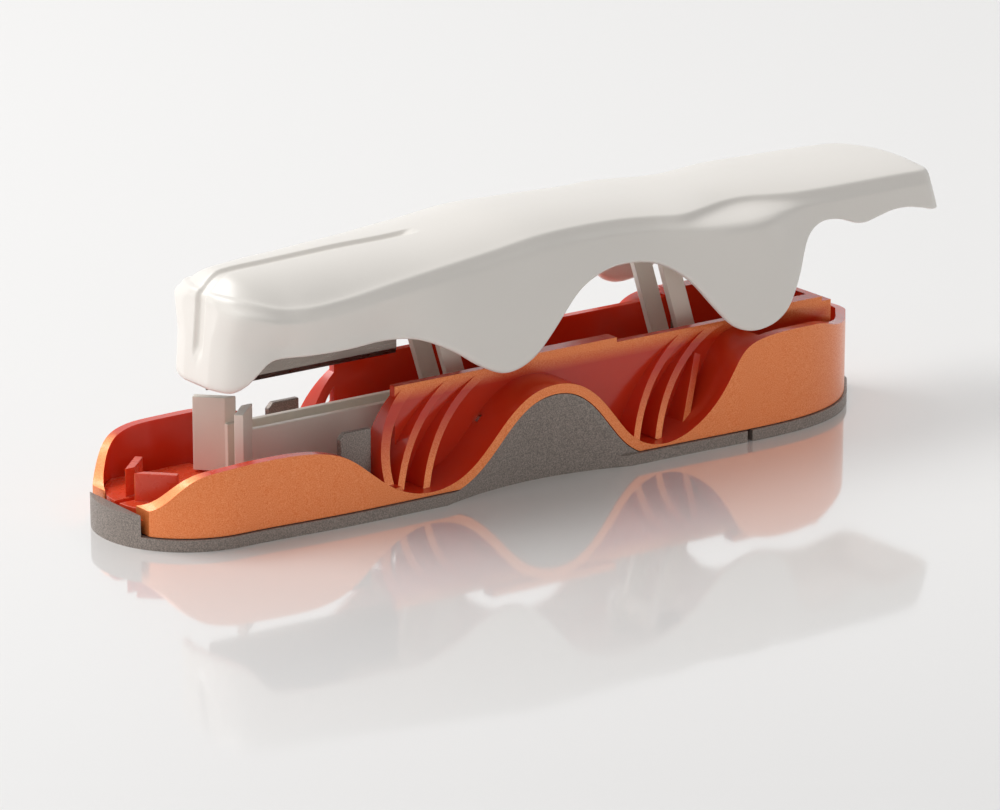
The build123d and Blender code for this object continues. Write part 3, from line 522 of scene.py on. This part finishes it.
def lever_shell():
    shape = bmesh.new()
    bmesh.ops.create_grid(shape, x_segments=TOP_COLUMNS, y_segments=TOP_ROWS, size=0.5)
    tags = {}
    for vertex in shape.verts:
        tags[vertex] = (along(vertex.co.x + 0.5), vertex.co.y + 0.5)
    first = [RIDGE_END_X[0] + RIDGE_ROUNDING, RIDGE_END_X[1] - RIDGE_ROUNDING]
    for vertex, (s, t) in tags.items():
        x = first[0] + (first[1] - first[0]) * s
        rim = place_ring(s, 1, ("ridge", 0.0))[1]
        y = across(t, rim)
        ridge_z, crown_z = through(RIDGE_HEIGHT, x), through(CROWN_HEIGHT, x)
        fall = min(x - first[0], 3.0) / 3.0
        crown_z = ridge_z + (crown_z - ridge_z) * (1 - (1 - max(fall, 0)) ** 2)
        z = crown_z - (crown_z - ridge_z) * abs(y / rim) ** 2.4 - groove_depth(x, y)
        vertex.co = mm(x, y, z)
    levels = [("ridge", 0.4), ("ridge", 0.75), ("ridge", 1.0), ("ledge", 0.5), ("ledge", 1.0)]
    levels += [("wall", (step + 1) / WALL_STEPS) for step in range(WALL_STEPS)]
    rim = [edge for edge in shape.edges if edge.is_boundary]
    for level in levels:
        grown = bmesh.ops.extrude_edge_only(shape, edges=rim)["geom"]
        fresh = [item for item in grown if isinstance(item, bmesh.types.BMVert)]
        made = set(fresh)
        rim = [item for item in grown if isinstance(item, bmesh.types.BMEdge) and made.issuperset(item.verts)]
        above = set(tags)
        for vertex in fresh:
            neighbours = [edge.other_vert(vertex) for edge in vertex.link_edges]
            tags[vertex] = next(tags[other] for other in neighbours if other in above)
        for vertex in fresh:
            s, t = tags[vertex]
            if TINY < t < 1 - TINY:
                half = place_ring(s, 1, level)[1]
                side = across(t, half) / half
            else:
                side = 2 * t - 1
            vertex.co = mm(*place_ring(s, side, level))
    bmesh.ops.translate(shape, vec=LEVER_OPEN, verts=shape.verts)
    bmesh.ops.recalc_face_normals(shape, faces=shape.faces)
    return mesh_from(shape, "lever_shell", math.pi)


lever = finished("lever_shell", lever_shell(), "white_plastic", "lever", "lever_cover")
wall = lever.modifiers.new("wall", "SOLIDIFY")
wall.thickness = 1.4 * MM
wall.offset = -1
smooth = lever.modifiers.new("smooth", "SUBSURF")
smooth.levels = 1
smooth.render_levels = 1
print("lever faces:", len(lever.data.polygons))

# %% [markdown]
# The splitter stands on a pale glossy sheet, lit by a large soft panel above and behind its nose, as
# in a product studio. The sheet mirrors the orange body softly, and the rest fades to white.

# %% The studio
FLOOR_SIZE = 6.0
MIRROR_SHARE = (0.42, 0.06)
MIRROR_REACH_MM = (20, 130)


def studio_floor():
    shape = bmesh.new()
    bmesh.ops.create_grid(shape, x_segments=1, y_segments=1, size=FLOOR_SIZE / 2)
    mesh = bpy.data.meshes.new("floor")
    shape.to_mesh(mesh)
    shape.free()
    material, tree, output, place = new_material("glossy_white_sheet")
    haze = grain(tree, place, 40.0)
    sheet = add(tree, "BsdfPrincipled", Base_Color=colour("#F6F5F4"), IOR=1.45, Roughness=0.5)
    mirror = add(tree, "BsdfGlossy", Color=colour("#FBFAF9"), Roughness=spread(tree, haze, 0.05, 0.07))
    towards = add(tree, "VectorMath", {"operation": "DOT_PRODUCT"}, i0=place, i1=(-sin_az, -cos_az, 0))
    share = spread(tree, towards.outputs["Value"], *MIRROR_SHARE, *(length * MM for length in MIRROR_REACH_MM))
    mixed = add(tree, "MixShader", i0=share, i1=sheet.outputs[0], i2=mirror.outputs[0])
    tree.links.new(mixed.outputs[0], output.inputs["Surface"])
    mesh.materials.append(material)
    floor = bpy.data.objects.new("floor", mesh)
    bpy.context.scene.collection.objects.link(floor)


def panel(name, place, target, size, power):
    """A soft area light that looks at a target."""
    data = bpy.data.lights.new(name, "AREA")
    data.shape = "RECTANGLE"
    data.size, data.size_y = size
    data.energy = power
    light = bpy.data.objects.new(name, data)
    look = (Vector(target) - Vector(place)).to_track_quat("-Z", "Y")
    light.matrix_world = Matrix.Translation(Vector(place)) @ look.to_matrix().to_4x4()
    bpy.context.scene.collection.objects.link(light)


BACKDROP = 0.94


def white_room(strength):
    world = bpy.data.worlds.new("room")
    world.use_nodes = True
    tree = world.node_tree
    tree.nodes.clear()
    soft = add(tree, "Background", Color=colour("#FFFFFF"), Strength=strength)
    backdrop = add(tree, "Background", Color=colour("#FFFFFF"), Strength=BACKDROP)
    rays = add(tree, "LightPath").outputs
    seen = add(tree, "Math", {"operation": "MAXIMUM"}, i0=rays["Is Camera Ray"], i1=rays["Is Glossy Ray"])
    either = add(tree, "Math", {"operation": "MAXIMUM"}, i0=seen.outputs[0], i1=rays["Is Transmission Ray"])
    sky = add(tree, "MixShader", i0=either.outputs[0], i1=soft.outputs[0], i2=backdrop.outputs[0])
    tree.links.new(sky.outputs[0], add(tree, "OutputWorld").inputs["Surface"])
    bpy.context.scene.world = world


studio_floor()
panel("key", (-0.4, 0.5, 0.7), (0, 0, 0.02), (0.7, 0.5), 6.7)
panel("nose_fill", (-0.7, 0.02, 0.2), (-0.04, 0, 0.02), (0.3, 0.4), 0.3)
white_room(0.4)
